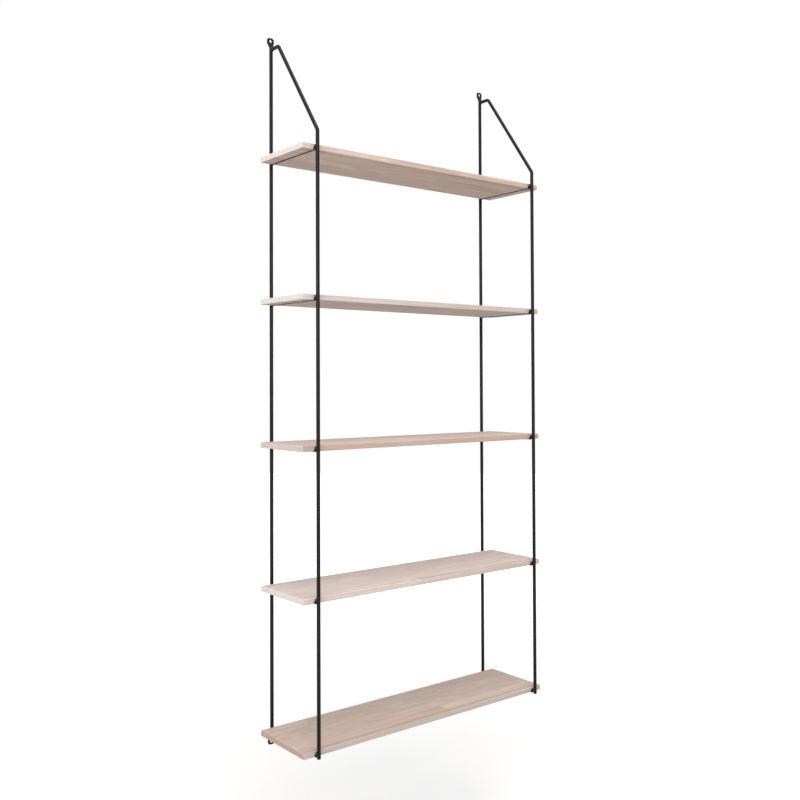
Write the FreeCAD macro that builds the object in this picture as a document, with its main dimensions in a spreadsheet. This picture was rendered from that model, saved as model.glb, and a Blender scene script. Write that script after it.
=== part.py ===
import FreeCAD, Part
import Sketcher
import math
import os

# Wall-hung shelving unit: five grooved wooden boards on two welded steel side frames.
# Frame: +Z up, +Y into the wall, +X to the right seen from the front. The origin lies on
# the wall plane, in the middle of the four wall holes. Lengths are in millimetres.

DIMENSIONS = {
    # Boards
    "board_length": 700,
    "board_depth": 164,
    "board_thickness": 12,
    "board_edge_bevel": 1,
    "board_pitch": 309,
    "board_overhang": 30,
    "groove_depth": 4.8,
    # Rods of the side frames
    "rod_diameter": 8,
    "rod_end_bevel": 0.8,
    "foot_drop": 1.5,
    "bend_rise": 27,
    "bend_radius": 12,
    "peak_rise": 215,
    "peak_radius": 9,
    "link_length": 30.4,
    # Flattened eyes at the ends of the rear uprights
    "link_to_hole": 20,
    "hole_drop": 20,
    "hole_diameter": 7,
    "eye_width": 17,
    "eye_thickness": 3,
    "eye_edge_bevel": 0.7,
    "eye_corner": 6,
    "eye_crown": 7,
    "eye_flat": 5,
    "eye_taper": 10.5,
    # Support wires, turned up in front of the boards
    "wire_diameter": 6,
    "hook_radius": 4,
    "hook_tip_drop": 2.5,
    "weld_set_down": 0.3,
    # Clearances
    "groove_clearance": 0.3,
    "rear_clearance": 0.4,
    "hook_clearance": 0.9,
    # Overrun of the cuts
    "cut_overrun": 2,
}
BOARD_COUNT = 5

# The round sections of wires and of tapers are drawn as eight arcs, one for each side and corner of an eye
ARC_COUNT = 8
# An edge of an eye counts as part of its outline when it rises by this share of its length
RISING_SHARE = 0.25

doc = FreeCAD.newDocument("shelving_unit")
sheet = doc.addObject("Spreadsheet::Sheet", "Sizes")
for row, (alias, number) in enumerate(DIMENSIONS.items(), start=1):
    sheet.set("A%d" % row, alias)
    sheet.set("B%d" % row, str(number))
    sheet.setAlias("B%d" % row, alias)
doc.recompute()

# Places that several pieces share, as formulas of the sheet's cells
TOP_LEVEL = BOARD_COUNT - 1
FRAME_PLANES = {
    "left": "( board_overhang - board_length / 2 )",
    "right": "( board_length / 2 - board_overhang )",
}
BOARD_REAR = "( rod_diameter / 2 + rear_clearance )"
HOOK_CORNER = "( %s + board_depth + hook_clearance + wire_diameter / 2 )" % BOARD_REAR
ROD_SPACING = "( %s + wire_diameter / 2 + rod_diameter / 2 - weld_set_down )" % HOOK_CORNER
WIRE_LIFT = "( groove_depth - groove_clearance - wire_diameter / 2 )"
HOOK_RISE = "( board_thickness - hook_tip_drop - %s )" % WIRE_LIFT
BEND_HEIGHT = "( %d * board_pitch + board_thickness + bend_rise )" % TOP_LEVEL
HOLE_SPAN = "( hole_drop + %s + peak_rise + link_to_hole )" % BEND_HEIGHT
REAR_AXIS = "( - rod_diameter / 2 )"
BOTTOM_UNDERSIDE = "( hole_drop - %s / 2 )" % HOLE_SPAN


def cells(formula):
    """The formula with each alias written as a reference to its cell."""
    return " ".join("Sizes." + word if word in DIMENSIONS else word for word in formula.split())


def value(formula):
    """The present value of a formula, to draw a sketch close to its solution."""
    return float(sheet.evalExpression(cells(formula)))


def bind(obj, path, formula):
    """Tie a property of an object to a formula of the sheet's cells."""
    obj.setExpression(path, cells(formula))


def place(obj, x, y, z):
    """Tie an object's position to three formulas."""
    bind(obj, "Placement.Base.x", x)
    bind(obj, "Placement.Base.y", y)
    bind(obj, "Placement.Base.z", z)


def new_body(label):
    body = doc.addObject("PartDesign::Body", label)
    body.Label = label
    return body


def new_feature(body, kind, name):
    return body.newObject("PartDesign::" + kind, "%s_%s" % (body.Name, name))


def origin_plane(body, role):
    return next(item for item in body.Origin.OriginFeatures if item.Role == role)


def new_sketch(body, name, role, offset=None):
    """An empty sketch on one of the body's own origin planes, moved along its normal by a formula."""
    sketch = body.newObject("Sketcher::SketchObject", "%s_%s" % (body.Name, name))
    sketch.AttachmentSupport = [(origin_plane(body, role), "")]
    sketch.MapMode = "FlatFace"
    if offset:
        bind(sketch, "AttachmentOffset.Base.z", offset)
    return sketch


# Sketcher's numbers for a curve's points and for the sketch's own origin
FIRST, LAST, CENTRE = 1, 2, 3
POINT = 1
ORIGIN = (-1, 1)


def constrain(sketch, *terms):
    return sketch.addConstraint(Sketcher.Constraint(*terms))


def drive(sketch, kind, targets, formula):
    """A dimension of a sketch, bound to a formula."""
    index = constrain(sketch, kind, *targets, value(formula))
    bind(sketch, "Constraints[%d]" % index, formula)


def pin(sketch, curve, point, x, y):
    """Hold a point of a curve at two formulas, measured from the sketch's origin."""
    drive(sketch, "DistanceX", (*ORIGIN, curve, point), x)
    drive(sketch, "DistanceY", (*ORIGIN, curve, point), y)


def spot(x, y):
    return FreeCAD.Vector(value(x), value(y), 0)


def draw_circle(sketch, x, y, diameter):
    radius = value(diameter) / 2
    circle = sketch.addGeometry(Part.Circle(spot(x, y), FreeCAD.Vector(0, 0, 1), radius), False)
    pin(sketch, circle, CENTRE, x, y)
    drive(sketch, "Diameter", (circle,), diameter)


def draw_lines(sketch, corners):
    """Straight lines from corner to corner, each starting at its own pinned corner."""
    spots = [spot(*corner) for corner in corners]
    lines = []
    for first, last, corner in zip(spots, spots[1:], corners):
        line = sketch.addGeometry(Part.LineSegment(first, last), False)
        pin(sketch, line, FIRST, *corner)
        lines.append(line)
    for line, following in zip(lines, lines[1:]):
        constrain(sketch, "Coincident", line, LAST, following, FIRST)
    return lines


def draw_rectangle(sketch, left, right, low, high):
    corners = [(left, low), (right, low), (right, high), (left, high)]
    spots = [spot(*corner) for corner in corners]
    lines = [
        sketch.addGeometry(Part.LineSegment(first, last), False)
        for first, last in zip(spots, spots[1:] + spots[:1])
    ]
    for line, following in zip(lines, lines[1:] + lines[:1]):
        constrain(sketch, "Coincident", line, LAST, following, FIRST)
    for line, direction in zip(lines, ("Horizontal", "Vertical") * 2):
        constrain(sketch, direction, line)
    pin(sketch, lines[0], FIRST, left, low)
    pin(sketch, lines[2], FIRST, right, high)


def draw_path(sketch, corners, radii):
    """An open path through the corners, each inner corner rounded by a tangent arc."""
    spots = [spot(*corner) for corner in corners]
    starts, ends, arcs = spots[:1], [], []
    for before, corner, after, radius in zip(spots, spots[1:], spots[2:], radii):
        incoming = (corner - before).normalize()
        outgoing = (after - corner).normalize()
        reach = value(radius) * math.tan(incoming.getAngle(outgoing) / 2)
        turns_left = incoming.cross(outgoing).z > 0
        inward = FreeCAD.Vector(-incoming.y, incoming.x, 0) * (1 if turns_left else -1)
        arc_ends = corner - incoming * reach, corner + outgoing * reach
        centre = arc_ends[0] + inward * value(radius)
        angles = [math.atan2(end.y - centre.y, end.x - centre.x) for end in arc_ends]
        circle = Part.Circle(centre, FreeCAD.Vector(0, 0, 1), value(radius))
        arcs.append((Part.ArcOfCircle(circle, *(angles if turns_left else angles[::-1])), turns_left))
        ends.append(arc_ends[0])
        starts.append(arc_ends[1])
    ends.append(spots[-1])

    lines = [
        sketch.addGeometry(Part.LineSegment(first, last), False)
        for first, last in zip(starts, ends)
    ]
    pin(sketch, lines[0], FIRST, *corners[0])
    pin(sketch, lines[-1], LAST, *corners[-1])
    pairs = zip(lines, lines[1:])
    for (arc, turns_left), (line, following), corner, radius in zip(arcs, pairs, corners[1:], radii):
        curve = sketch.addGeometry(arc, False)
        entry, leave = (FIRST, LAST) if turns_left else (LAST, FIRST)
        constrain(sketch, "Tangent", line, LAST, curve, entry)
        constrain(sketch, "Tangent", curve, leave, following, FIRST)
        drive(sketch, "Radius", (curve,), radius)
        apex = sketch.addGeometry(Part.Point(spot(*corner)), True)
        pin(sketch, apex, POINT, *corner)
        constrain(sketch, "PointOnObject", apex, POINT, line)
        constrain(sketch, "PointOnObject", apex, POINT, following)
    return lines


def draw_ring_of_arcs(sketch, diameter):
    """A circle round the origin, drawn as equal arcs of which the first is halved by the X axis."""
    step = 360 / ARC_COUNT
    circle = Part.Circle(FreeCAD.Vector(0, 0, 0), FreeCAD.Vector(0, 0, 1), value(diameter) / 2)
    arcs = []
    for index in range(ARC_COUNT):
        start, stop = (index - 0.5) * step, (index + 0.5) * step
        curve = Part.ArcOfCircle(circle, math.radians(start), math.radians(stop))
        arc = sketch.addGeometry(curve, False)
        across = "%s / 2 * cos(%g deg)" % (diameter, stop)
        along = "%s / 2 * sin(%g deg)" % (diameter, stop)
        pin(sketch, arc, LAST, across, along)
        drive(sketch, "Radius", (arc,), "%s / 2" % diameter)
        arcs.append(arc)
    for arc, following in zip(arcs, arcs[1:] + arcs[:1]):
        constrain(sketch, "Coincident", arc, LAST, following, FIRST)


def draw_eye_section(sketch, low, high):
    """The bevelled rectangle of an eye's section, its eight sides in the order of the arcs."""
    half, bevel = "eye_width / 2", "eye_edge_bevel"
    side, near = "( %s - %s )" % (half, bevel), "( %s + %s )" % (low, bevel)
    far = "( %s - %s )" % (high, bevel)
    corners = [
        (half, near), (half, far),
        (side, high), ("- " + side, high),
        ("- " + half, far), ("- " + half, near),
        ("- " + side, low), (side, low),
    ]
    draw_lines(sketch, corners + corners[:1])
    constrain(sketch, "Coincident", len(corners) - 1, LAST, 0, FIRST)


def draw_eye_outline(sketch, low, high):
    """The eye seen from the front: straight sides, and an end with rounded corners."""
    half = "eye_width / 2"
    corners = [("- " + half, low), ("- " + half, high), (half, high), (half, low)]
    lines = draw_path(sketch, corners, ["eye_corner", "eye_corner"])
    foot = sketch.addGeometry(Part.LineSegment(spot(*corners[-1]), spot(*corners[0])), False)
    constrain(sketch, "Coincident", lines[-1], LAST, foot, FIRST)
    constrain(sketch, "Coincident", foot, LAST, lines[0], FIRST)


def edge_names(shape, wanted):
    """Names of the edges that a rule picks."""
    names = ["Edge%d" % number for number, edge in enumerate(shape.Edges, start=1) if wanted(edge)]
    if not names:
        raise ValueError("no edge found to bevel")
    return names


def bevel_edges(body, name, base, names, width):
    bevel = new_feature(body, "Chamfer", name)
    bevel.Base = (base, names)
    bind(bevel, "Size", width)
    doc.recompute()


def cut_through(body, name, sketch, reverse=False, both_ways=False):
    """A pocket through the whole body, which has to take some material away."""
    before = body.Shape.Volume
    pocket = new_feature(body, "Pocket", name)
    pocket.Profile = sketch
    pocket.Type = "ThroughAll"
    pocket.Reversed = reverse
    pocket.Midplane = both_ways
    doc.recompute()
    if body.Shape.Volume >= before:
        raise ValueError("%s cuts nothing" % pocket.Name)
    return pocket


def make_board(level):
    """A board with eased edges and, across its underside, a groove for each support wire."""
    body = new_body("shelf_board_%d" % (level + 1))
    outline = new_sketch(body, "outline", "XY_Plane")
    half_length, half_depth = "board_length / 2", "board_depth / 2"
    draw_rectangle(outline, "- " + half_length, half_length, "- " + half_depth, half_depth)
    blank = new_feature(body, "Pad", "blank")
    blank.Profile = outline
    bind(blank, "Length", "board_thickness")
    doc.recompute()

    level_edges = edge_names(blank.Shape, lambda edge: abs(edge.tangentAt(edge.FirstParameter).z) < 0.5)
    bevel_edges(body, "eased_edges", blank, level_edges, "board_edge_bevel")

    grooves = new_sketch(body, "groove_ends", "XZ_Plane")
    half_width = "( wire_diameter / 2 + groove_clearance )"
    for plane in FRAME_PLANES.values():
        left, right = "%s - %s" % (plane, half_width), "%s + %s" % (plane, half_width)
        draw_rectangle(grooves, left, right, "- cut_overrun", "groove_depth")
    cut_through(body, "grooves", grooves, both_ways=True)
    place(body, "0", "%s - %s - board_depth / 2" % (REAR_AXIS, BOARD_REAR),
          "%s + %d * board_pitch" % (BOTTOM_UNDERSIDE, level))
    return body


def make_rear_upright(side, plane):
    """A rod along the wall, each end flattened to an eye that lies on the wall plane.

    The upper half is modelled from the rod's middle up, then mirrored.
    """
    body = new_body("rear_upright_" + side)
    hole_height = "%s / 2" % HOLE_SPAN
    flat_height = "( %s - eye_flat )" % hole_height
    taper_height = "( %s - eye_taper )" % flat_height
    wall, face = "rod_diameter / 2", "( rod_diameter / 2 - eye_thickness )"

    outline = new_sketch(body, "eye_outline", "XZ_Plane", "- " + wall)
    draw_eye_outline(outline, flat_height, "( %s + eye_crown )" % hole_height)
    eye = new_feature(body, "Pad", "eye")
    eye.Profile = outline
    bind(eye, "Length", "eye_thickness")
    doc.recompute()
    rising = edge_names(eye.Shape, lambda edge: edge.BoundBox.ZLength > RISING_SHARE * edge.Length)
    bevel_edges(body, "eye_bevel", eye, rising, "eye_edge_bevel")

    hole = new_sketch(body, "hole_outline", "XZ_Plane", "- " + wall)
    draw_circle(hole, "0", hole_height, "hole_diameter")
    cut_through(body, "hole", hole, reverse=True)

    flat_section = new_sketch(body, "flat_section", "XY_Plane", flat_height)
    draw_eye_section(flat_section, face, wall)
    round_section = new_sketch(body, "round_section", "XY_Plane", taper_height)
    draw_ring_of_arcs(round_section, "rod_diameter")
    taper = new_feature(body, "AdditiveLoft", "taper")
    taper.Profile = flat_section
    taper.Sections = [round_section]
    taper.Ruled = True
    doc.recompute()

    rod_section = new_sketch(body, "rod_section", "XY_Plane")
    draw_circle(rod_section, "0", "0", "rod_diameter")
    rod = new_feature(body, "Pad", "rod")
    rod.Profile = rod_section
    bind(rod, "Length", taper_height)
    doc.recompute()

    whole = new_feature(body, "Mirrored", "whole")
    whole.TransformMode = "Whole shape"
    whole.MirrorPlane = (origin_plane(body, "XY_Plane"), [""])
    body.Tip = whole
    place(body, plane, REAR_AXIS, "0")
    return body


def sweep_rod(body, path, section):
    pipe = new_feature(body, "AdditivePipe", "rod")
    pipe.Profile = section
    pipe.Spine = (path, ["Edge%d" % (number + 1) for number in range(len(path.Shape.Edges))])
    doc.recompute()
    return pipe


def make_front_upright(side, plane):
    """A rod bent twice: up the front, back along the diagonal, and level to the rear upright."""
    body = new_body("front_upright_" + side)
    path = new_sketch(body, "path", "YZ_Plane")
    bend_height = "( foot_drop + %s )" % BEND_HEIGHT
    link_height = "( %s + peak_rise )" % bend_height
    corners = [
        ("0", "0"),
        ("0", bend_height),
        ("%s - link_length" % ROD_SPACING, link_height),
        (ROD_SPACING, link_height),
    ]
    draw_path(path, corners, ["bend_radius", "peak_radius"])
    section = new_sketch(body, "section", "XY_Plane")
    draw_circle(section, "0", "0", "rod_diameter")
    doc.recompute()
    pipe = sweep_rod(body, path, section)

    foot_height = min(edge.CenterOfMass.z for edge in pipe.Shape.Edges)
    foot = edge_names(pipe.Shape, lambda edge: edge.CenterOfMass.z == foot_height)
    bevel_edges(body, "foot_bevel", pipe, foot, "rod_end_bevel")

    rear_rod = new_sketch(body, "rear_rod", "XY_Plane")
    draw_circle(rear_rod, "0", ROD_SPACING, "rod_diameter")
    cut_through(body, "cope", rear_rod, reverse=True)
    place(body, plane, "%s - %s" % (REAR_AXIS, ROD_SPACING), "%s - foot_drop" % BOTTOM_UNDERSIDE)
    return body


def make_support_wire(side, plane, level):
    """A wire along a board's groove, from the rear upright to a hook on the front upright."""
    body = new_body("support_wire_%s_%d" % (side, level + 1))
    path = new_sketch(body, "path", "YZ_Plane")
    corners = [("0", "0"), ("- " + HOOK_CORNER, "0"), ("- " + HOOK_CORNER, HOOK_RISE)]
    draw_path(path, corners, ["hook_radius"])
    section = new_sketch(body, "section", "XZ_Plane")
    draw_ring_of_arcs(section, "wire_diameter")
    doc.recompute()
    sweep_rod(body, path, section)

    rods = new_sketch(body, "rods", "XY_Plane")
    draw_circle(rods, "0", "0", "rod_diameter")
    draw_circle(rods, "0", "- " + ROD_SPACING, "rod_diameter")
    cut_through(body, "copes", rods, both_ways=True)
    place(body, plane, REAR_AXIS, "%s + %d * board_pitch + %s" % (BOTTOM_UNDERSIDE, level, WIRE_LIFT))
    return body


pieces = [make_board(level) for level in range(BOARD_COUNT)]
for side, plane in FRAME_PLANES.items():
    pieces.append(make_rear_upright(side, plane))
    pieces.append(make_front_upright(side, plane))
    pieces += [make_support_wire(side, plane, level) for level in range(BOARD_COUNT)]
doc.recompute()

for obj in doc.Objects:
    if "Invalid" in obj.State or "Error" in obj.State:
        raise RuntimeError("%s failed: %s" % (obj.Name, obj.State))
    if obj.TypeId == "Sketcher::SketchObject" and not obj.FullyConstrained:
        raise RuntimeError("%s is not fully constrained" % obj.Name)
for piece in pieces:
    if piece.Shape.isNull() or not piece.Shape.isValid() or len(piece.Shape.Solids) != 1:
        raise RuntimeError("%s is not one valid solid" % piece.Label)

os.makedirs("parts", exist_ok=True)
for piece in pieces:
    piece.Shape.exportStep("parts/%s.step" % piece.Label)
    print(piece.Label, piece.Shape.BoundBox, round(piece.Shape.Volume))
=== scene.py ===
import math

import bpy
import numpy as np
from bpy.props import FloatProperty, FloatVectorProperty, IntProperty, PointerProperty
from bpy.types import NodeSocket, Operator, Panel, PropertyGroup
from mathutils import Matrix, Vector


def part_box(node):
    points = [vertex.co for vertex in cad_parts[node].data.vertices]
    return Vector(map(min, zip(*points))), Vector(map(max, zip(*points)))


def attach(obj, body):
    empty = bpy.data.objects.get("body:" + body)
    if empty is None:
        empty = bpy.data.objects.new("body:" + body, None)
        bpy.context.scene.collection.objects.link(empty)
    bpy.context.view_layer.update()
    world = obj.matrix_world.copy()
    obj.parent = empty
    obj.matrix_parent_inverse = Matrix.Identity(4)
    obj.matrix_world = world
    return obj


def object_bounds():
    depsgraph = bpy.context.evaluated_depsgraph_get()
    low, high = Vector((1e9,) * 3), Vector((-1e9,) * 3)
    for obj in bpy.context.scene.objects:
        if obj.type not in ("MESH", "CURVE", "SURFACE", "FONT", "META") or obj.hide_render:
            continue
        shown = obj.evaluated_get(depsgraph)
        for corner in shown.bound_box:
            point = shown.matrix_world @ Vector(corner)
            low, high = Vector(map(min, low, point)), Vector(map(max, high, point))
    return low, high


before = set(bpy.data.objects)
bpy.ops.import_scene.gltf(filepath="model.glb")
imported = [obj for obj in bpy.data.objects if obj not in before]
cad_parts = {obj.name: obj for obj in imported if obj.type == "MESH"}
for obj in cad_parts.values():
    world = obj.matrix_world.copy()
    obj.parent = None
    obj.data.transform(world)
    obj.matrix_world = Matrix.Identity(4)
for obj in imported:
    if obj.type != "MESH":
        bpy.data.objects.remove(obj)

bl_info = {
    "name": "Wall shelving unit",
    "version": (1, 0, 0),
    "blender": (4, 5, 0),
    "location": "3D View > Sidebar > Shelving",
    "description": "Finishes the boards and welded steel side frames of a wall-hung shelving unit",
    "category": "Object",
}

# Places read from the frame, in metres

CAD_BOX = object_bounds()
CAD_MIDDLE = [(low + high) / 2 for low, high in zip(*CAD_BOX)]
FRAME_BODY = "side_frames"
SIDES = ("left", "right")
BOARDS = sorted(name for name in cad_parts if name.startswith("shelf_board_"))
UPRIGHTS = sorted(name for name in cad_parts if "_upright_" in name)
WIRES = sorted(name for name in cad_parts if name.startswith("support_wire_"))


def span(node):
    """Lowest and highest corner of a node as arrays."""
    low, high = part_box(node)
    return np.array(low), np.array(high)


def thickness(node):
    """Width of a round rod that lies in a plane square to X."""
    low, high = span(node)
    return float(high[0] - low[0])


BOARD_LOW, BOARD_HIGH = span(BOARDS[0])
BOARD_FRONT, BOARD_BASE = float(BOARD_LOW[1]), float(BOARD_LOW[2])
BOARD_END = float(BOARD_HIGH[0])
BOARD_DEPTH = float(BOARD_HIGH[1] - BOARD_LOW[1])
BOARD_PITCH = float(span(BOARDS[1])[0][2] - BOARD_LOW[2])
ROD_RADIUS = thickness("front_upright_left") / 2
ROD_FRONT = span("front_upright_left")[0][1]
WIRE_RADIUS = thickness("support_wire_left_1") / 2

# Grains of the finishes per metre, on X, Y and Z

WANDER_GRAINS = (1.7, 5.0, 5.0)
FIBRE_GRAINS = (14.0, 480.0, 480.0)
CLOUD_GRAINS = (5.0, 26.0, 26.0)
STAIN_GRAINS = (3.2, 70.0, 70.0)
PORE_GRAINS = (85.0, 1900.0, 1900.0)
GLOSS_GRAINS = (60.0, 60.0, 22.0)
RUB_GRAINS = (420.0, 420.0, 30.0)

# Ranges for rescale: the value's low and high, then the result's where it doesn't run from 0 to 1

LATE_RISE = (0.25, 0.88)
LATE_FALL = (1.0, 0.9)
STAIN_RANGE = (0.52, 0.68)
PORE_RANGE = (0.60, 0.72)
FIBRE_TO_LATE = (0.3, 0.7, 0.12, 0.38)
FIBRE_TO_STREAK = (0.35, 0.65, 0.92, 1.05)
CLOUD_TO_WARMTH = (0.3, 0.7, -0.05, 0.17)
CLOUD_TO_FRONT_BAND = (0.25, 0.6, 0.35, 1.0)
RUB_RANGE = (0.5, 0.72)
RUB_PATCHES = (0.4, 0.65)
NOISE_MIDDLE = (0.3, 0.7)
FLOOR_LIFT = (1.2, 4.0, 0.58, 1.1)

# Lengths in the wood, in metres

LEVEL_MARGIN = 0.001
SHUFFLE_REACH = (9.0, 9.0, 9.0)
WANDER_REACH = 0.075
PITH_NEAREST, PITH_SPREAD = 0.018, 0.05
FACE_SKIN = (0.0008, 0.0002)
# A darker band just behind the front arris: where it starts and where it fades out
FRONT_BAND_RISE = (0.0006, 0.003)
FRONT_BAND_FALL = (0.022, 0.004)

# Shares in the wood. A joint's width is a share of the stave's width or the piece's length

STAVE_SHIFT = 0.37
STAGGER_LOT = 0.5
STAVE_JOINT, PIECE_JOINT = 0.007, 0.0008
TONE_SHARE = 0.26
STAIN_SHARE, FRONT_BAND_SHARE, GLUE_SHARE = 0.75, 0.7, 0.45
PORE_SHARE, END_PORE_LOSS = 0.28, 0.2
# Painted light on the ends and front edges shows at this share, and less on late wood
PAINTED_LIGHT_HOLD, LATE_PAINTED_LIGHT_LOSS = 0.9, 0.3
LATE_RELIEF = 0.25

# Bumps, and how far roughness strays to either side

WOOD_BUMP = {"Strength": 0.35, "Distance": 0.00025}
STEEL_BUMP = {"Strength": 0.10, "Distance": 0.00008}
WOOD_ROUGHNESS_SPREAD = (-0.07, 0.09)
STEEL_ROUGHNESS_SPREAD = (-0.06, 0.08)

# Counts of points round the floor, and the camera's film

FLOOR_RINGS, FLOOR_SPOKES = 10, 72
FILM_WIDTH = 36


class BoardSettings(PropertyGroup):
    """Sizes and colours of the boards' wood."""

    pale_wood: FloatVectorProperty(
        name="Pale wood", description="Colour of the lightest pieces of wood",
        subtype="COLOR", min=0, max=1, default=(0.765, 0.675, 0.628))
    warm_wood: FloatVectorProperty(
        name="Warm wood", description="Colour of the darkest pieces of wood",
        subtype="COLOR", min=0, max=1, default=(0.590, 0.440, 0.355))
    late_wood: FloatVectorProperty(
        name="Late wood", description="Colour of the dark side of a growth ring",
        subtype="COLOR", min=0, max=1, default=(0.490, 0.325, 0.250))
    pore_wood: FloatVectorProperty(
        name="Pores", description="Colour inside open pores and glue lines",
        subtype="COLOR", min=0, max=1, default=(0.330, 0.225, 0.175))
    # Painted light: this pale colour on the ends and some front edges stands in for the strong
    # light that falls on them
    painted_light_wood: FloatVectorProperty(
        name="Limed wood", description="Colour of wood that has drunk the white finish",
        subtype="COLOR", min=0, max=1, default=(0.830, 0.800, 0.785))
    # Bare end grain; the pale painted light on the ends is mixed over it
    end_wood: FloatVectorProperty(
        name="Bare ends", description="Colour of end grain without white finish",
        subtype="COLOR", min=0, max=1, default=(0.505, 0.355, 0.280))
    board_warmth: FloatVectorProperty(
        name="Warmth", description="Share of warm wood in each board, from the bottom up",
        size=5, min=0, max=1, default=(0.40, 0.0, 0.45, 0.0, 0.15))
    board_shade: FloatVectorProperty(
        name="Shade", description="Lightness of each board's wood, from the bottom up",
        size=5, min=0, max=1, default=(0.90, 0.97, 0.97, 0.85, 1.0))
    board_stain: FloatVectorProperty(
        name="Stain", description="Strength of each board's dark streaks, from the bottom up",
        size=5, min=0, max=1, default=(0.55, 0.30, 0.45, 0.65, 0.70))
    # Painted light: how far each board's ends are lightened, more on the upper boards
    end_painted_light: FloatVectorProperty(
        name="End liming", description="Paleness of each board's ends, from the bottom up",
        size=5, min=0, max=1, default=(0.0, 0.9, 0.54, 1.0, 1.0))
    # Painted light: each board's front edge is lightened towards the pale colour, standing in for
    # light falling on it
    edge_painted_light: FloatVectorProperty(
        name="Edge liming", description="Paleness of each board's front edge, from the bottom up",
        size=5, min=0, max=1, default=(0.90, 0.0, 0.0, 0.22, 0.0))
    edge_warmth: FloatVectorProperty(
        name="Edge warmth",
        description="Warm wood added to each board's front edge, from the bottom up",
        size=5, min=0, max=1, default=(0.0, 0.0, 0.42, 0.0, 0.22))
    stave_width: FloatProperty(
        name="Stave width", description="Width of the staves that are glued edge to edge",
        unit="LENGTH", min=0.01, default=BOARD_DEPTH / 4)
    piece_length: FloatProperty(
        name="Piece length",
        description="Length of the pieces that are joined end to end in a stave",
        unit="LENGTH", min=0.05, default=0.37)
    ring_spacing: FloatProperty(
        name="Ring spacing", description="Distance between two growth rings",
        unit="LENGTH", min=0.001, default=0.0065)
    roughness: FloatProperty(
        name="Roughness", description="Roughness of the oiled surface",
        subtype="FACTOR", min=0, max=1, default=0.70)
    sheen: FloatProperty(
        name="Sheen", description="Strength of the oiled surface's reflection",
        subtype="FACTOR", min=0, max=1, default=0.25)


class SteelSettings(PropertyGroup):
    """Colours of the coated steel and sizes of its weld seams."""

    coat: FloatVectorProperty(
        name="Coat", description="Colour of the black powder coat",
        subtype="COLOR", min=0, max=1, default=(0.0020, 0.0020, 0.0023))
    rubbed_coat: FloatVectorProperty(
        name="Rubbed coat", description="Colour of the coat where handling has dulled it",
        subtype="COLOR", min=0, max=1, default=(0.0060, 0.0060, 0.0064))
    roughness: FloatProperty(
        name="Roughness", description="Roughness of the coat",
        subtype="FACTOR", min=0, max=1, default=0.34)
    sheen: FloatProperty(
        name="Sheen", description="Strength of the coat's reflection",
        subtype="FACTOR", min=0, max=1, default=0.19)
    grain_size: FloatProperty(
        name="Coat grain", description="Size of the grains in the coat's texture",
        unit="LENGTH", min=0.0001, default=0.0006)
    seam_radius: FloatProperty(
        name="Seam radius", description="Radius of the weld seam between link and rear upright",
        unit="LENGTH", min=0.0002, default=0.0011)
    ripple_count: IntProperty(
        name="Ripples", description="Ripples along one weld seam", min=1, default=28)


class StageSettings(PropertyGroup):
    """Floor, light and camera."""

    floor_gap: FloatProperty(
        name="Floor gap", description="Height of the unit's lowest point above the floor",
        unit="LENGTH", min=0, default=0.3)
    floor_radius: FloatProperty(
        name="Floor radius", description="Radius of the round floor",
        unit="LENGTH", min=1, default=9.0)
    floor_colour: FloatVectorProperty(
        name="Floor", description="Colour of the floor",
        subtype="COLOR", min=0, max=1, default=(0.575, 0.53, 0.495))
    floor_glow: FloatVectorProperty(
        name="Floor glow", description="Colour that lifts the seen floor to white",
        subtype="COLOR", min=0, max=1, default=(0.91, 0.96, 1.0))
    ambient: FloatProperty(
        name="Ambient", description="Strength of the even light from all round",
        min=0, default=0.53)
    key_power: FloatProperty(
        name="Key light", description="Power of the wide soft light at the front left",
        unit="POWER", min=0, default=100)
    key_size: FloatVectorProperty(
        name="Key size", description="Width and height of the wide soft light",
        unit="LENGTH", size=2, min=0.01, default=(5.0, 1.9))
    key_place: FloatVectorProperty(
        name="Key place", description="Place of the wide soft light",
        subtype="XYZ", unit="LENGTH", default=(-3.0, -2.35, 0.97))
    top_power: FloatProperty(
        name="Top light", description="Power of the soft light above",
        unit="POWER", min=0, default=122)
    top_size: FloatVectorProperty(
        name="Top size", description="Width and height of the soft light above",
        unit="LENGTH", size=2, min=0.01, default=(2.8, 2.8))
    top_place: FloatVectorProperty(
        name="Top place", description="Place of the soft light above",
        subtype="XYZ", unit="LENGTH", default=(-0.7, -2.0, 4.2))
    camera_place: FloatVectorProperty(
        name="Camera", description="Place of the camera",
        subtype="XYZ", unit="LENGTH", default=(-1.38994, -1.73268, 0.01272))
    camera_heading: FloatProperty(
        name="Heading", description="Turn of the view from straight at the wall to the right",
        subtype="ANGLE", default=0.65349)
    camera_pitch: FloatProperty(
        name="Pitch", description="Rise of the view above level",
        subtype="ANGLE", default=0.0182)
    camera_roll: FloatProperty(
        name="Roll", description="Turn of the picture about the line of sight",
        subtype="ANGLE", default=-0.00317)
    lens: FloatProperty(
        name="Focal length", description="Focal length for a picture 36 mm wide",
        min=1, default=41.64)
    shift: FloatVectorProperty(
        name="Shift", description="Shift of the picture, in parts of its width",
        size=2, default=(0.0455, -0.0427))


# Node trees


def add_node(tree, kind, inputs=None, **settings):
    """Add a node, set its properties, and set or link its inputs by name or number."""
    made = tree.nodes.new("ShaderNode" + kind)
    for name, value in settings.items():
        setattr(made, name, value)
    for socket, value in (inputs or {}).items():
        if isinstance(value, NodeSocket):
            tree.links.new(value, made.inputs[socket])
        else:
            made.inputs[socket].default_value = value
    return made


def reckon(tree, operation, *terms):
    """One step of arithmetic on numbers or sockets."""
    return add_node(tree, "Math", dict(enumerate(terms)), operation=operation).outputs[0]


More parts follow.
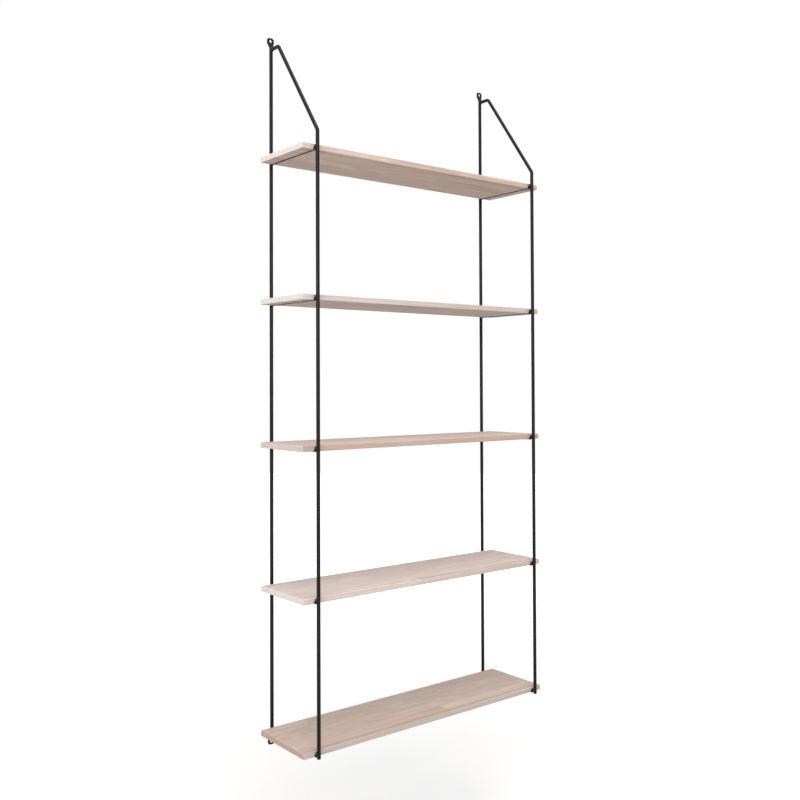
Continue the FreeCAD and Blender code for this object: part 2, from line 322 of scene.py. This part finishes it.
def mix_colour(tree, share, first, second, mode="MIX"):
    """Two colours blended by a share."""
    made = add_node(tree, "Mix", {0: share}, data_type="RGBA", blend_type=mode)
    for socket, value in zip(made.inputs[6:8], (first, second)):
        if isinstance(value, NodeSocket):
            tree.links.new(value, socket)
        else:
            socket.default_value = (*value, 1)
    return made.outputs[2]


def rescale(tree, value, low, high, new_low=0.0, new_high=1.0):
    """A smooth step of a value from one range to another."""
    terms = {"Value": value, 1: low, 2: high, 3: new_low, 4: new_high}
    return add_node(tree, "MapRange", terms, interpolation_type="SMOOTHSTEP").outputs[0]


def stretched_noise(tree, coordinates, grains, detail=3.0, roughness=0.55):
    """Noise with a number of grains per metre on each axis."""
    mapped = add_node(tree, "Mapping", {"Vector": coordinates, "Scale": grains}).outputs[0]
    inputs = {"Vector": mapped, "Scale": 1.0, "Detail": detail, "Roughness": roughness}
    return add_node(tree, "TexNoise", inputs).outputs[0]


def new_material(name):
    """An empty material, its tree and its object coordinates."""
    material = bpy.data.materials.new(name)
    material.use_nodes = True
    tree = material.node_tree
    tree.nodes.clear()
    return material, tree, add_node(tree, "TexCoord").outputs["Object"]


def set_surface(tree, shader):
    add_node(tree, "OutputMaterial", {"Surface": shader.outputs[0]})


def set_glossy_surface(tree, colour, roughness, bump, height, sheen):
    """A surface with a bump and an even reflection."""
    normal = add_node(tree, "Bump", {**bump, "Height": height}).outputs[0]
    set_surface(tree, add_node(tree, "BsdfPrincipled", {
        "Base Color": colour, "Roughness": roughness, "Normal": normal,
        "Specular IOR Level": sheen}))


def spread_roughness(tree, noise, middle, spread):
    """Roughness that strays from its middle with a noise."""
    return rescale(tree, noise, *NOISE_MIDDLE, middle + spread[0], middle + spread[1])


def pick(tree, number, values):
    """The value in a list that belongs to a number from 0 up."""
    total = 0.0
    for place, value in enumerate(values):
        found = reckon(tree, "COMPARE", number, place, 0.5)
        total = reckon(tree, "MULTIPLY_ADD", found, value, total)
    return total


def draw_lot(tree, *numbers):
    """A random vector that belongs to three numbers, and its three shares."""
    number = add_node(tree, "CombineXYZ", dict(enumerate(numbers))).outputs[0]
    noise = add_node(tree, "TexWhiteNoise", {"Vector": number}, noise_dimensions="3D")
    lot = noise.outputs["Color"]
    return lot, add_node(tree, "SeparateColor", {0: lot}).outputs


def joint_line(tree, share, width):
    """1 on a thin line where a share runs over from 1 to 0."""
    off_middle = reckon(tree, "ABSOLUTE", reckon(tree, "SUBTRACT", share, 0.5))
    return rescale(tree, off_middle, 0.5 - width, 0.5 - width / 4)


# Finishes


def find_piece(tree, along, depth, height, settings):
    """Numbers of the board, stave and piece that a point lies in, and its place in them."""
    level = reckon(tree, "SUBTRACT", height, BOARD_BASE - LEVEL_MARGIN)
    level = reckon(tree, "FLOOR", reckon(tree, "DIVIDE", level, BOARD_PITCH))
    base = reckon(tree, "MULTIPLY_ADD", level, BOARD_PITCH, BOARD_BASE)
    rise = reckon(tree, "SUBTRACT", height, base)
    behind = reckon(tree, "SUBTRACT", depth, BOARD_FRONT)
    strip = reckon(tree, "DIVIDE", behind, settings.stave_width)
    strip = reckon(tree, "MULTIPLY_ADD", level, STAVE_SHIFT, strip)
    stave = reckon(tree, "FLOOR", strip)
    across = reckon(tree, "FRACT", strip)
    stagger = draw_lot(tree, stave, level, STAGGER_LOT)[1][0]
    run = reckon(tree, "ADD", reckon(tree, "DIVIDE", along, settings.piece_length), stagger)
    piece = reckon(tree, "FLOOR", run)
    lengthwise = reckon(tree, "FRACT", run)
    return (level, stave, piece), (lengthwise, across, rise), behind


def make_late_wood(tree, shuffled, across, rise, lots, settings):
    """Share of dark late wood in the growth rings.

    Each piece is cut round a pith of its own. A point's ring number is its distance from that pith,
    which wanders slowly along the length, over the ring spacing.
    """
    wander = stretched_noise(tree, shuffled, WANDER_GRAINS, detail=2.0)
    wander = reckon(tree, "MULTIPLY", reckon(tree, "SUBTRACT", wander, 0.5), WANDER_REACH)
    off_pith = reckon(tree, "SUBTRACT", reckon(tree, "ADD", across, lots[0]), 1.0)
    off_pith = reckon(tree, "MULTIPLY", off_pith, settings.stave_width)
    over_pith = reckon(tree, "MULTIPLY_ADD", lots[1], PITH_SPREAD, PITH_NEAREST)
    over_pith = reckon(tree, "ADD", over_pith, rise)
    squares = reckon(tree, "MULTIPLY", off_pith, off_pith)
    radius = reckon(tree, "SQRT", reckon(tree, "MULTIPLY_ADD", over_pith, over_pith, squares))
    radius = reckon(tree, "ADD", radius, wander)
    ring = reckon(tree, "FRACT", reckon(tree, "DIVIDE", radius, settings.ring_spacing))
    rising, falling = rescale(tree, ring, *LATE_RISE), rescale(tree, ring, *LATE_FALL)
    return reckon(tree, "MULTIPLY", rising, falling)


def make_board_wood(settings):
    """Pale wood, glued up from staves that are pieced out of shorter lengths.

    Fibres, clouds, stains and pores are noise drawn out along the length. Glue lines run where two
    pieces meet, a darker band lies just behind the front arris, and painted light, a pale colour,
    lies on the ends and on some front edges, less on late wood.
    """
    material, tree, place = new_material("board_wood")
    along, depth, height = add_node(tree, "SeparateXYZ", {0: place}).outputs
    numbers, places, behind = find_piece(tree, along, depth, height, settings)
    level, stave, piece = numbers
    lengthwise, across, rise = places
    lot, lots = draw_lot(tree, stave, level, piece)
    shuffle = {0: lot, 1: SHUFFLE_REACH, 2: place}
    shuffled = add_node(tree, "VectorMath", shuffle, operation="MULTIPLY_ADD").outputs[0]

    late = make_late_wood(tree, shuffled, across, rise, lots, settings)
    fibre = stretched_noise(tree, shuffled, FIBRE_GRAINS, detail=4.0, roughness=0.65)
    cloud = stretched_noise(tree, shuffled, CLOUD_GRAINS, detail=2.0)
    stain = rescale(tree, stretched_noise(tree, shuffled, STAIN_GRAINS), *STAIN_RANGE)
    stain = reckon(tree, "MULTIPLY", stain, pick(tree, level, settings.board_stain))
    pore = rescale(tree, stretched_noise(tree, shuffled, PORE_GRAINS, detail=1.0), *PORE_RANGE)
    stave_seam = joint_line(tree, across, STAVE_JOINT)
    seam = reckon(tree, "MAXIMUM", stave_seam, joint_line(tree, lengthwise, PIECE_JOINT))
    inside_end = reckon(tree, "SUBTRACT", BOARD_END, reckon(tree, "ABSOLUTE", along))
    end = rescale(tree, inside_end, *FACE_SKIN)
    edge = rescale(tree, behind, *FACE_SKIN)
    # A darker band just behind the front arris, on the top and underside, patchy with the clouds
    front_band = rescale(tree, behind, *FRONT_BAND_RISE)
    front_band = reckon(tree, "MULTIPLY", front_band, rescale(tree, behind, *FRONT_BAND_FALL))
    front_band = reckon(tree, "MULTIPLY", front_band, rescale(tree, cloud, *CLOUD_TO_FRONT_BAND))

    warmth = rescale(tree, cloud, *CLOUD_TO_WARMTH)
    warmth = reckon(tree, "MULTIPLY_ADD", lots[2], TONE_SHARE, warmth)
    warmth = reckon(tree, "ADD", warmth, pick(tree, level, settings.board_warmth))
    edge_warmth = pick(tree, level, settings.edge_warmth)
    warmth = reckon(tree, "MULTIPLY_ADD", edge, edge_warmth, warmth)
    warmth = add_node(tree, "Clamp", {0: warmth}).outputs[0]
    colour = mix_colour(tree, warmth, settings.pale_wood, settings.warm_wood)
    dark = reckon(tree, "MULTIPLY", late, rescale(tree, fibre, *FIBRE_TO_LATE))
    dark = reckon(tree, "MAXIMUM", dark, reckon(tree, "MULTIPLY", stain, STAIN_SHARE))
    dark = reckon(tree, "MAXIMUM", dark, reckon(tree, "MULTIPLY", front_band, FRONT_BAND_SHARE))
    colour = mix_colour(tree, dark, colour, settings.late_wood)
    streak = rescale(tree, fibre, *FIBRE_TO_STREAK)
    streak = reckon(tree, "MULTIPLY", streak, pick(tree, level, settings.board_shade))
    streaks = add_node(tree, "CombineColor", {0: streak, 1: streak, 2: streak}).outputs[0]
    colour = mix_colour(tree, 1.0, colour, streaks, mode="MULTIPLY")

    # Painted light: the ends are lightened towards a pale colour, less on late wood
    painted_light_hold = reckon(tree, "MULTIPLY_ADD", late, -LATE_PAINTED_LIGHT_LOSS, PAINTED_LIGHT_HOLD)
    end_painted_light = pick(tree, level, settings.end_painted_light)
    end_grain_and_painted_light = mix_colour(tree, end_painted_light, settings.end_wood, settings.painted_light_wood)
    colour = mix_colour(tree, reckon(tree, "MULTIPLY", end, painted_light_hold), colour, end_grain_and_painted_light)
    # Painted light on the front edges, less on late wood
    painted_edge_light = reckon(tree, "MULTIPLY", edge, pick(tree, level, settings.edge_painted_light))
    painted_edge_light = reckon(tree, "MULTIPLY", painted_edge_light, painted_light_hold)
    colour = mix_colour(tree, painted_edge_light, colour, settings.painted_light_wood)
    pore_share = reckon(tree, "MULTIPLY_ADD", end, -END_PORE_LOSS, PORE_SHARE)
    pore = reckon(tree, "MULTIPLY", pore, pore_share)
    hollow = reckon(tree, "MAXIMUM", pore, reckon(tree, "MULTIPLY", seam, GLUE_SHARE))
    colour = mix_colour(tree, hollow, colour, settings.pore_wood)

    relief = reckon(tree, "MULTIPLY_ADD", late, LATE_RELIEF, fibre)
    relief = reckon(tree, "SUBTRACT", relief, hollow)
    roughness = spread_roughness(tree, fibre, settings.roughness, WOOD_ROUGHNESS_SPREAD)
    set_glossy_surface(tree, colour, roughness, WOOD_BUMP, relief, settings.sheen)
    return material


def make_coated_steel(settings):
    """Black powder coat: a fine grain, slow changes of gloss, and dulled streaks along the rods."""
    material, tree, place = new_material("black_steel")
    fine = 1 / settings.grain_size
    grain = stretched_noise(tree, place, (fine, fine, fine), detail=2.0)
    patch = stretched_noise(tree, place, GLOSS_GRAINS)
    rub = stretched_noise(tree, place, RUB_GRAINS, detail=4.0, roughness=0.6)
    rub = rescale(tree, rub, *RUB_RANGE)
    rub = reckon(tree, "MULTIPLY", rub, rescale(tree, patch, *RUB_PATCHES))
    colour = mix_colour(tree, rub, settings.coat, settings.rubbed_coat)
    roughness = spread_roughness(tree, patch, settings.roughness, STEEL_ROUGHNESS_SPREAD)
    set_glossy_surface(tree, colour, roughness, STEEL_BUMP, grain, settings.sheen)
    return material


def finish_nodes(names, material):
    """Give CAD nodes a finish through their own material slots."""
    for name in names:
        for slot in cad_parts[name].material_slots:
            slot.material = material


# Surfaces


def ring_faces(rings, around, closed):
    """Quads between neighbouring rings of a grid whose rings are closed."""
    first = np.arange(rings if closed else rings - 1)[:, None]
    column = np.arange(around)[None, :]
    following, beside = (first + 1) % rings, (column + 1) % around
    corners = (first * around + column, first * around + beside,
               following * around + beside, following * around + column)
    grid = [np.broadcast_to(corner, (len(first), around)) for corner in corners]
    return np.stack(grid, axis=-1).reshape(-1, 4)


def bead(path, radii, around=14):
    """A round bead carried along a closed path.

    At each point of the path the circle p + r (cos a n + sin a b) is drawn, where n is the part of
    the outward direction that is square to the path and b is square to both.
    """
    tangent = np.roll(path, -1, axis=0) - np.roll(path, 1, axis=0)
    tangent /= np.linalg.norm(tangent, axis=1, keepdims=True)
    outward = path - path.mean(axis=0)
    normal = outward - (outward * tangent).sum(axis=1, keepdims=True) * tangent
    normal /= np.linalg.norm(normal, axis=1, keepdims=True)
    binormal = np.cross(tangent, normal)
    angle = np.linspace(0, 2 * np.pi, around, endpoint=False)[None, :, None]
    circle = np.cos(angle) * normal[:, None] + np.sin(angle) * binormal[:, None]
    points = path[:, None] + radii[:, None, None] * circle
    return points.reshape(-1, 3), [ring_faces(len(path), around, closed=True)]


def nugget(centre, reach, rings=10, around=18, swelling=0.05, lumps=3, twist=2):
    """A lump of upset weld metal: an ellipsoid whose reach swells and shrinks round its middle.

    Its point at polar angle p and turn a lies s (sin p cos a, sin p sin a, cos p) times the reach
    from the centre, with s = 1 + swelling sin(lumps a + twist p) sin p.
    """
    polar = np.linspace(0, np.pi, rings + 2)[1:-1, None]
    turn = np.linspace(0, 2 * np.pi, around, endpoint=False)[None, :]
    swell = 1 + swelling * np.sin(lumps * turn + twist * polar) * np.sin(polar)
    unit = np.stack([np.sin(polar) * np.cos(turn), np.sin(polar) * np.sin(turn),
                     np.cos(polar) * np.ones_like(turn)], axis=-1)
    body = (centre + swell[..., None] * unit * reach).reshape(-1, 3)
    poles = np.array([centre + (0, 0, reach[2]), centre - (0, 0, reach[2])])
    points = np.concatenate([body, poles])
    column = np.arange(around)
    beside = (column + 1) % around
    last = (rings - 1) * around
    top = np.stack([np.full(around, len(body)), column, beside], axis=-1)
    low = np.stack([np.full(around, len(body) + 1), last + beside, last + column], axis=-1)
    return points, [ring_faces(rings, around, closed=False)[:, ::-1], top, low]


def add_surfaces(name, surfaces, material):
    """One smooth object of several surfaces, each given as points and blocks of faces."""
    points, faces, start = [], [], 0
    for part_points, face_blocks in surfaces:
        points.append(part_points)
        for block in face_blocks:
            faces += (block + start).tolist()
        start += len(part_points)
    mesh = bpy.data.meshes.new(name)
    mesh.from_pydata(np.concatenate(points).tolist(), [], faces)
    mesh.shade_smooth()
    mesh.materials.append(material)
    made = bpy.data.objects.new(name, mesh)
    bpy.context.scene.collection.objects.link(made)
    return made


# Operators


class SHELVING_OT_boards(Operator):
    """Give the five boards their glued-up pale wood"""

    bl_idname = "shelving.boards"
    bl_label = "Finish boards"

    def execute(self, context):
        finish_nodes(BOARDS, make_board_wood(context.scene.shelving_boards))
        return {"FINISHED"}


class SHELVING_OT_side_frames(Operator):
    """Give the uprights and support wires their black powder coat"""

    bl_idname = "shelving.side_frames"
    bl_label = "Finish side frames"

    def execute(self, context):
        finish_nodes(UPRIGHTS + WIRES, make_coated_steel(context.scene.shelving_steel))
        return {"FINISHED"}


class SHELVING_OT_welds(Operator):
    """Add the weld metal where links, wires and uprights join"""

    bl_idname = "shelving.welds"
    bl_label = "Add welds"

    seam_points = 144
    seam_thinnest = 0.2
    ripple_height = 0.07

    # Places and reaches of the nuggets, in radii of the wire
    hook_nugget_drop = 0.8
    hook_nugget_reach = (1.08, 0.6, 0.95)
    wire_nugget_inset, wire_nugget_lift = 0.4, 0.12
    wire_nugget_reach = (0.95, 0.75, 0.42)

    def execute(self, context):
        settings = context.scene.shelving_steel
        material = bpy.data.materials["black_steel"]
        seams = [self.link_seam(side, settings) for side in SIDES]
        pieces = [
            add_surfaces("link_seams", seams, material),
            add_surfaces("hook_nuggets", [self.hook_nugget(name) for name in WIRES], material),
            add_surfaces("wire_nuggets", [self.wire_nugget(name) for name in WIRES], material),
        ]
        for piece in pieces:
            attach(piece, FRAME_BODY)
        return {"FINISHED"}

    @classmethod
    def link_seam(cls, side, settings):
        """Seam where the level link meets the rear upright, a rod of the same radius r.

        The two rounds cross on x = r cos t, y = -r |sin t|, z = r sin t, and the bead thins towards
        the sides, where they run into each other without a corner.
        """
        low, high = span("front_upright_" + side)
        middle = np.array([(low[0] + high[0]) / 2, high[1], high[2] - ROD_RADIUS])
        turn = np.linspace(0, 2 * np.pi, cls.seam_points, endpoint=False)
        rise = np.abs(np.sin(turn))
        path = middle + ROD_RADIUS * np.stack([np.cos(turn), -rise, np.sin(turn)], axis=-1)
        fullness = cls.seam_thinnest + (1 - cls.seam_thinnest) * np.sqrt(rise)
        ripples = 1 + cls.ripple_height * np.cos(settings.ripple_count * turn)
        return bead(path, settings.seam_radius * fullness * ripples)

    @classmethod
    def hook_nugget(cls, name):
        """Weld metal squeezed out between a hook's tip and the back of the front upright."""
        low, high = span(name)
        centre = np.array([(low[0] + high[0]) / 2, ROD_FRONT + 2 * ROD_RADIUS,
                           high[2] - cls.hook_nugget_drop * WIRE_RADIUS])
        return nugget(centre, WIRE_RADIUS * np.array(cls.hook_nugget_reach))

    @classmethod
    def wire_nugget(cls, name):
        """Weld metal under a wire's rear end, clear of the board above."""
        low, high = span(name)
        centre = np.array([(low[0] + high[0]) / 2, high[1] - cls.wire_nugget_inset * WIRE_RADIUS,
                           low[2] + cls.wire_nugget_lift * WIRE_RADIUS])
        return nugget(centre, WIRE_RADIUS * np.array(cls.wire_nugget_reach))


class SHELVING_OT_stage(Operator):
    """Set up the pale floor, the soft light and the camera"""

    bl_idname = "shelving.stage"
    bl_label = "Set stage"

    def execute(self, context):
        settings = context.scene.shelving_stage
        context.scene.view_settings.view_transform = "Standard"
        self.add_floor(settings)
        self.add_light(context.scene, settings)
        self.add_camera(context.scene, settings)
        return {"FINISHED"}

    @staticmethod
    def seen_directly(tree):
        """1 for the rays on which the background itself shows, 0 for the light it gives."""
        path = add_node(tree, "LightPath").outputs
        seen = reckon(tree, "MAXIMUM", path["Is Camera Ray"], path["Is Glossy Ray"])
        return reckon(tree, "MAXIMUM", seen, path["Is Transmission Ray"])

    def add_floor(self, settings):
        """A round floor: x = r cos a, y = r sin a at one height."""
        material, tree, place = new_material("pale_floor")
        diffuse = add_node(tree, "BsdfDiffuse", {"Color": (*settings.floor_colour, 1)})
        distance = add_node(tree, "VectorMath", {0: place}, operation="LENGTH").outputs["Value"]
        lift = rescale(tree, distance, *FLOOR_LIFT)
        lift = reckon(tree, "MULTIPLY", self.seen_directly(tree), lift)
        glow = add_node(tree, "Emission", {"Color": (*settings.floor_glow, 1), "Strength": lift})
        set_surface(tree, add_node(tree, "AddShader", {0: diffuse.outputs[0], 1: glow.outputs[0]}))

        shares = np.linspace(0, 1, FLOOR_RINGS + 1)[1:, None]
        radii = settings.floor_radius * shares
        turn = np.linspace(0, 2 * np.pi, FLOOR_SPOKES, endpoint=False)[None, :]
        height = np.full((FLOOR_RINGS, FLOOR_SPOKES), CAD_BOX[0][2] - settings.floor_gap)
        points = np.stack([radii * np.cos(turn), radii * np.sin(turn), height], axis=-1)
        faces = [ring_faces(FLOOR_RINGS, FLOOR_SPOKES, closed=False)[:, ::-1],
                 np.arange(FLOOR_SPOKES)[None, :]]
        floor = add_surfaces("floor", [(points.reshape(-1, 3), faces)], material)

    def add_light(self, scene, settings):
        """Even light from all round, a wide soft lamp at the front left and another above."""
        world = bpy.data.worlds.new("studio")
        world.use_nodes = True
        tree = world.node_tree
        tree.nodes.clear()
        white = (1, 1, 1, 1)
        even = add_node(tree, "Background", {"Color": white, "Strength": settings.ambient})
        backdrop = add_node(tree, "Background", {"Color": white, "Strength": 1.0})
        mixed = add_node(tree, "MixShader", {
            0: self.seen_directly(tree), 1: even.outputs[0], 2: backdrop.outputs[0]})
        add_node(tree, "OutputWorld", {"Surface": mixed.outputs[0]})
        scene.world = world

        key = (settings.key_power, settings.key_size, settings.key_place)
        top = (settings.top_power, settings.top_size, settings.top_place)
        self.add_lamp(scene, "key_light", *key)
        self.add_lamp(scene, "top_light", *top)

    @staticmethod
    def add_lamp(scene, name, power, size, place):
        """A soft lamp that faces the middle of the unit."""
        lamp = bpy.data.lights.new(name, "AREA")
        lamp.energy = power
        lamp.shape = "RECTANGLE"
        lamp.size, lamp.size_y = size
        made = bpy.data.objects.new(name, lamp)
        made.location = place
        facing = Vector(CAD_MIDDLE) - made.location
        made.rotation_euler = facing.to_track_quat("-Z", "Y").to_euler()
        scene.collection.objects.link(made)

    @staticmethod
    def add_camera(scene, settings):
        """A camera placed and turned by its heading, pitch and roll."""
        heading, pitch = settings.camera_heading, settings.camera_pitch
        roll = settings.camera_roll
        forward = Vector((math.sin(heading) * math.cos(pitch),
                          math.cos(heading) * math.cos(pitch), math.sin(pitch)))
        level = Vector((math.cos(heading), -math.sin(heading), 0))
        upward = level.cross(forward)
        right = math.cos(roll) * level + math.sin(roll) * upward
        up = math.cos(roll) * upward - math.sin(roll) * level
        data = bpy.data.cameras.new("camera")
        data.sensor_width = FILM_WIDTH
        data.lens = settings.lens
        data.shift_x, data.shift_y = settings.shift
        camera = bpy.data.objects.new("camera", data)
        turn = Matrix((right, up, -forward)).transposed().to_4x4()
        camera.matrix_world = Matrix.Translation(settings.camera_place) @ turn
        scene.collection.objects.link(camera)
        scene.camera = camera


# Panel and registration


class SHELVING_PT_panel(Panel):
    """Lists the unit's settings and steps"""

    bl_idname = "SHELVING_PT_panel"
    bl_label = "Wall shelving unit"
    bl_space_type = "VIEW_3D"
    bl_region_type = "UI"
    bl_category = "Shelving"

    def draw(self, context):
        for group, steps in STEPS:
            box = self.layout.box()
            settings = getattr(context.scene, group)
            for name in settings.__annotations__:
                box.prop(settings, name)
            for step in steps:
                box.operator(step.bl_idname)


GROUPS = {
    "shelving_boards": BoardSettings,
    "shelving_steel": SteelSettings,
    "shelving_stage": StageSettings,
}
STEPS = [
    ("shelving_boards", [SHELVING_OT_boards]),
    ("shelving_steel", [SHELVING_OT_side_frames, SHELVING_OT_welds]),
    ("shelving_stage", [SHELVING_OT_stage]),
]
OPERATORS = [step for _, steps in STEPS for step in steps]


def register():
    for cls in [*GROUPS.values(), *OPERATORS, SHELVING_PT_panel]:
        bpy.utils.register_class(cls)
    for name, group in GROUPS.items():
        setattr(bpy.types.Scene, name, PointerProperty(type=group))


def unregister():
    for name in GROUPS:
        delattr(bpy.types.Scene, name)
    for cls in [SHELVING_PT_panel, *reversed(OPERATORS), *reversed(GROUPS.values())]:
        bpy.utils.unregister_class(cls)


def main():
    register()
    bpy.ops.shelving.boards()
    bpy.ops.shelving.side_frames()
    bpy.ops.shelving.welds()
    bpy.ops.shelving.stage()


if __name__ == "__main__":
    main()
